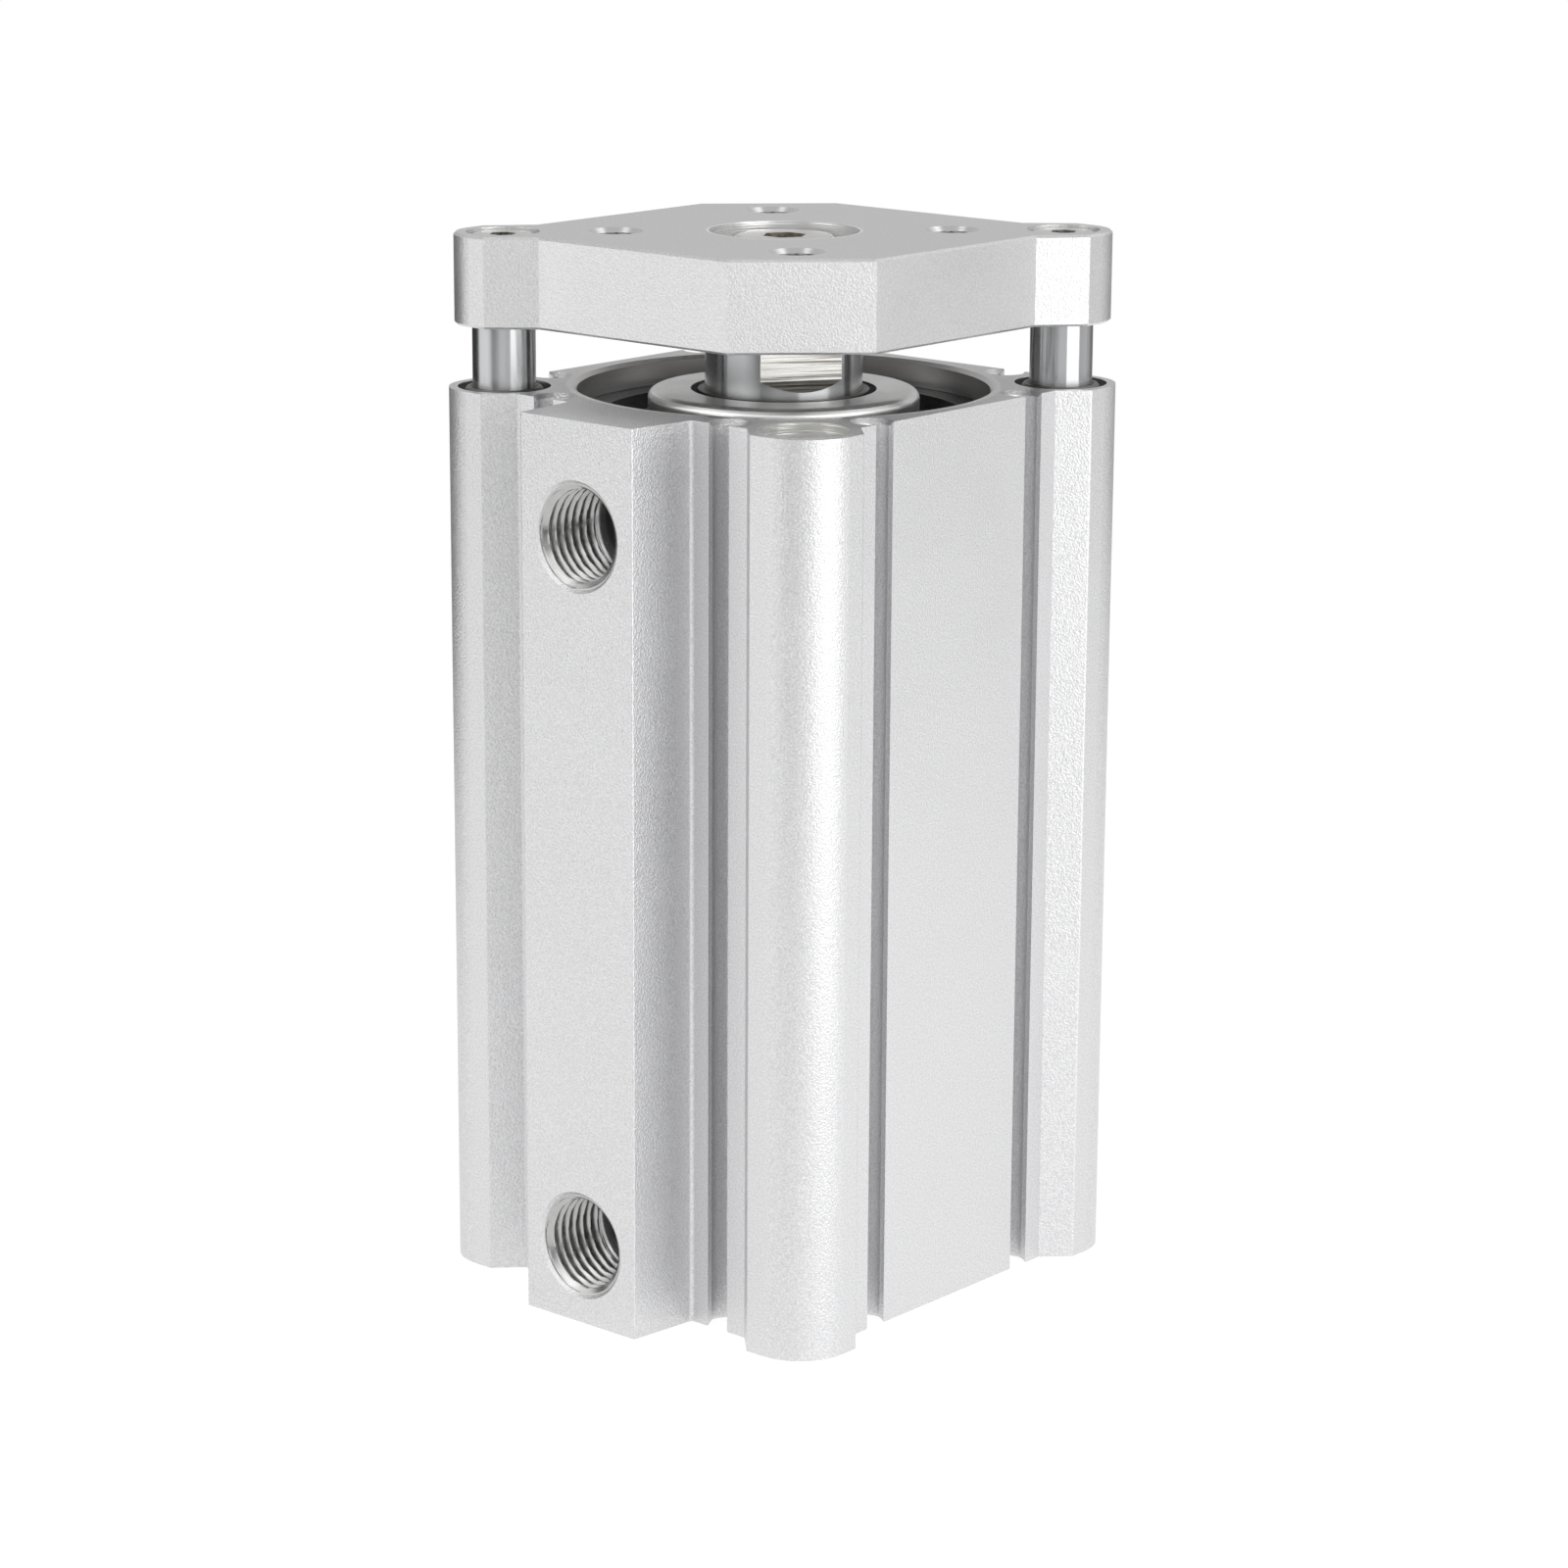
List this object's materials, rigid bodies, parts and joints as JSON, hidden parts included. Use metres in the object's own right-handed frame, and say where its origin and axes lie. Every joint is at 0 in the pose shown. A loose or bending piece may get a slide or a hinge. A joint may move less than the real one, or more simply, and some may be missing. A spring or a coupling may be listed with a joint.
{
  "type": "guided compact pneumatic cylinder",
  "caption": "Compact double-acting air cylinder with rod, guide rods and an end plate that stops the rod turning; ports on one side, sensor grooves round the body.",
  "frame": {"origin": "on the rod axis, at the flat foot of the tube", "axes": "+Z along the rod, the way it comes out; the ports face -Y; the guide rods stand at (-X, -Y) and (+X, +Y)"},
  "size_m": [0.064, 0.0704, 0.135],
  "materials": {
    "tube_anodised": "fine blasted and clear anodised, silver",
    "plate_anodised": "milled, blasted and clear anodised, silver",
    "cover_aluminium": "turned, satin",
    "piston_aluminium": "turned",
    "rod_chrome": "ground and hard chromed, mirror",
    "bush_metal": "plain bearing, dull grey",
    "ring_steel": "spring steel, black phosphate",
    "screw_steel": "bright plated steel",
    "black_rubber": "nitrile rubber, matt black",
    "bumper_rubber": "nitrile rubber, black",
    "wear_ring_resin": "bearing resin, off-white",
    "magnet_resin": "resin-bonded magnet, dark grey"
  },
  "bodies": {
    "barrel": {"cylinder_tube": "tube_anodised", "rod_cover": "cover_aluminium", "rod_bush": "bush_metal", "rod_bush_seal": "black_rubber", "rod_seal": "black_rubber", "cover_gasket": "black_rubber", "retaining_ring": "ring_steel", "head_bumper": "bumper_rubber", "rod_bumper": "bumper_rubber", "guide_bush_left": "bush_metal", "guide_bush_right": "bush_metal", "guide_bush_seal_left": "black_rubber", "guide_bush_seal_right": "black_rubber"},
    "carriage": {"piston": "piston_aluminium", "wear_ring": "wear_ring_resin", "magnet_ring": "magnet_resin", "piston_seal": "black_rubber", "piston_gasket": "black_rubber", "piston_rod": "rod_chrome", "end_plate": "plate_anodised", "rod_end_screw": "screw_steel", "guide_rod_left": "rod_chrome", "guide_rod_right": "rod_chrome", "guide_screw_left": "screw_steel", "guide_screw_right": "screw_steel"}
  },
  "joints": [
    {"name": "rod_stroke", "type": "slide", "parent": "barrel", "child": "carriage", "axis": [0, 0, 1], "range_m": [0, 0.075]}
  ]
}
